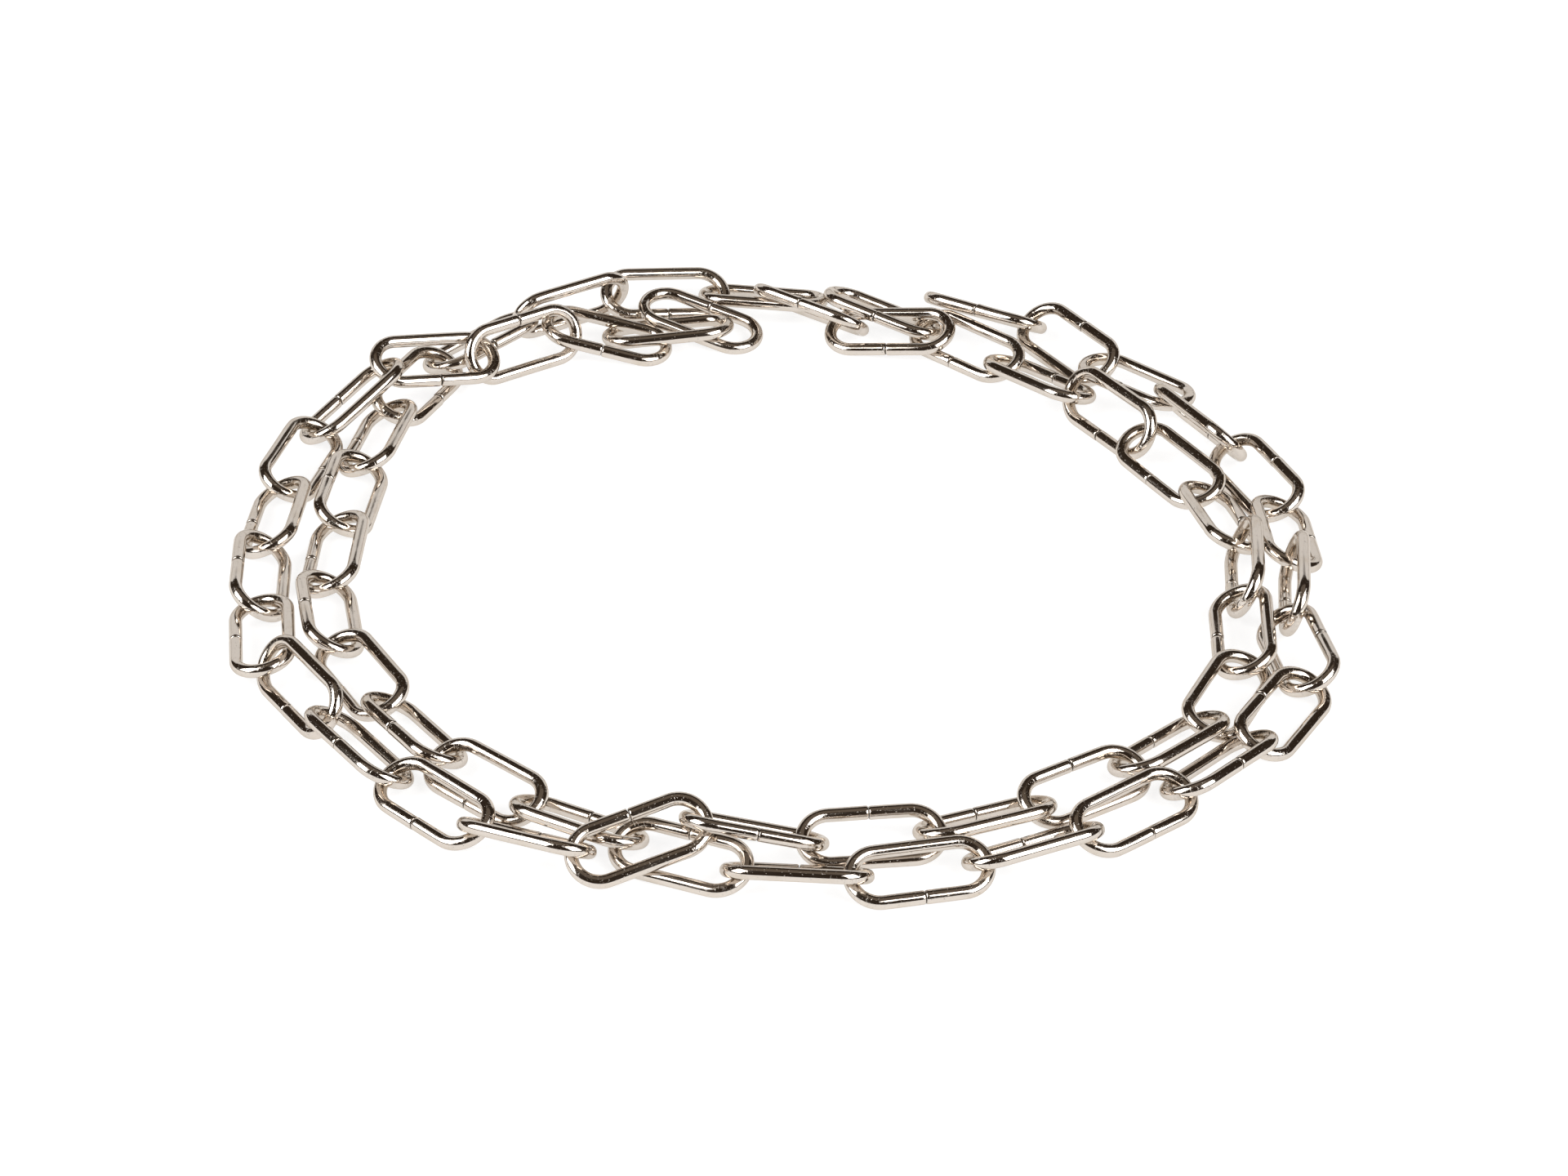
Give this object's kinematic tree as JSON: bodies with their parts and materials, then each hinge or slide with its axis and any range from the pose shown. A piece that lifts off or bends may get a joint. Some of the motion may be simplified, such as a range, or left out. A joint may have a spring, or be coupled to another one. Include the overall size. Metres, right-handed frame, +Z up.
{
  "type": "steel chain",
  "caption": "Length of straight-link nickel-plated steel chain lying in a loose double ring, each link a bent and butted wire hooked through the next.",
  "frame": {"origin": "middle of the ring's footprint, at floor level", "axes": "+Z up from the floor; +X to the right and +Y away from the viewer of the picture"},
  "size_m": [0.246, 0.256, 0.0146],
  "materials": {
    "nickel_plate": "bright nickel plate on drawn steel wire, fine drawing lines along the wire, small tool marks at the bends"
  },
  "bodies": {
    "root": {"link_01": "nickel_plate", "link_02": "nickel_plate", "link_03": "nickel_plate", "link_04": "nickel_plate", "link_05": "nickel_plate", "link_06": "nickel_plate", "link_07": "nickel_plate", "link_08": "nickel_plate", "link_09": "nickel_plate", "link_10": "nickel_plate", "link_11": "nickel_plate", "link_12": "nickel_plate", "link_13": "nickel_plate", "link_14": "nickel_plate", "link_15": "nickel_plate", "link_16": "nickel_plate", "link_17": "nickel_plate", "link_18": "nickel_plate", "link_19": "nickel_plate", "link_20": "nickel_plate", "link_21": "nickel_plate", "link_22": "nickel_plate", "link_23": "nickel_plate", "link_24": "nickel_plate", "link_25": "nickel_plate", "link_26": "nickel_plate", "link_27": "nickel_plate", "link_28": "nickel_plate", "link_29": "nickel_plate", "link_30": "nickel_plate", "link_31": "nickel_plate", "link_32": "nickel_plate", "link_33": "nickel_plate", "link_34": "nickel_plate", "link_35": "nickel_plate", "link_36": "nickel_plate", "link_37": "nickel_plate", "link_38": "nickel_plate", "link_39": "nickel_plate", "link_40": "nickel_plate", "link_41": "nickel_plate", "link_42": "nickel_plate", "link_43": "nickel_plate", "link_44": "nickel_plate", "link_45": "nickel_plate", "link_46": "nickel_plate", "link_47": "nickel_plate", "link_48": "nickel_plate", "link_49": "nickel_plate", "link_50": "nickel_plate", "link_51": "nickel_plate", "link_52": "nickel_plate", "link_53": "nickel_plate", "link_54": "nickel_plate", "link_55": "nickel_plate", "link_56": "nickel_plate", "link_57": "nickel_plate", "link_58": "nickel_plate", "link_59": "nickel_plate"}
  },
  "joints": []
}
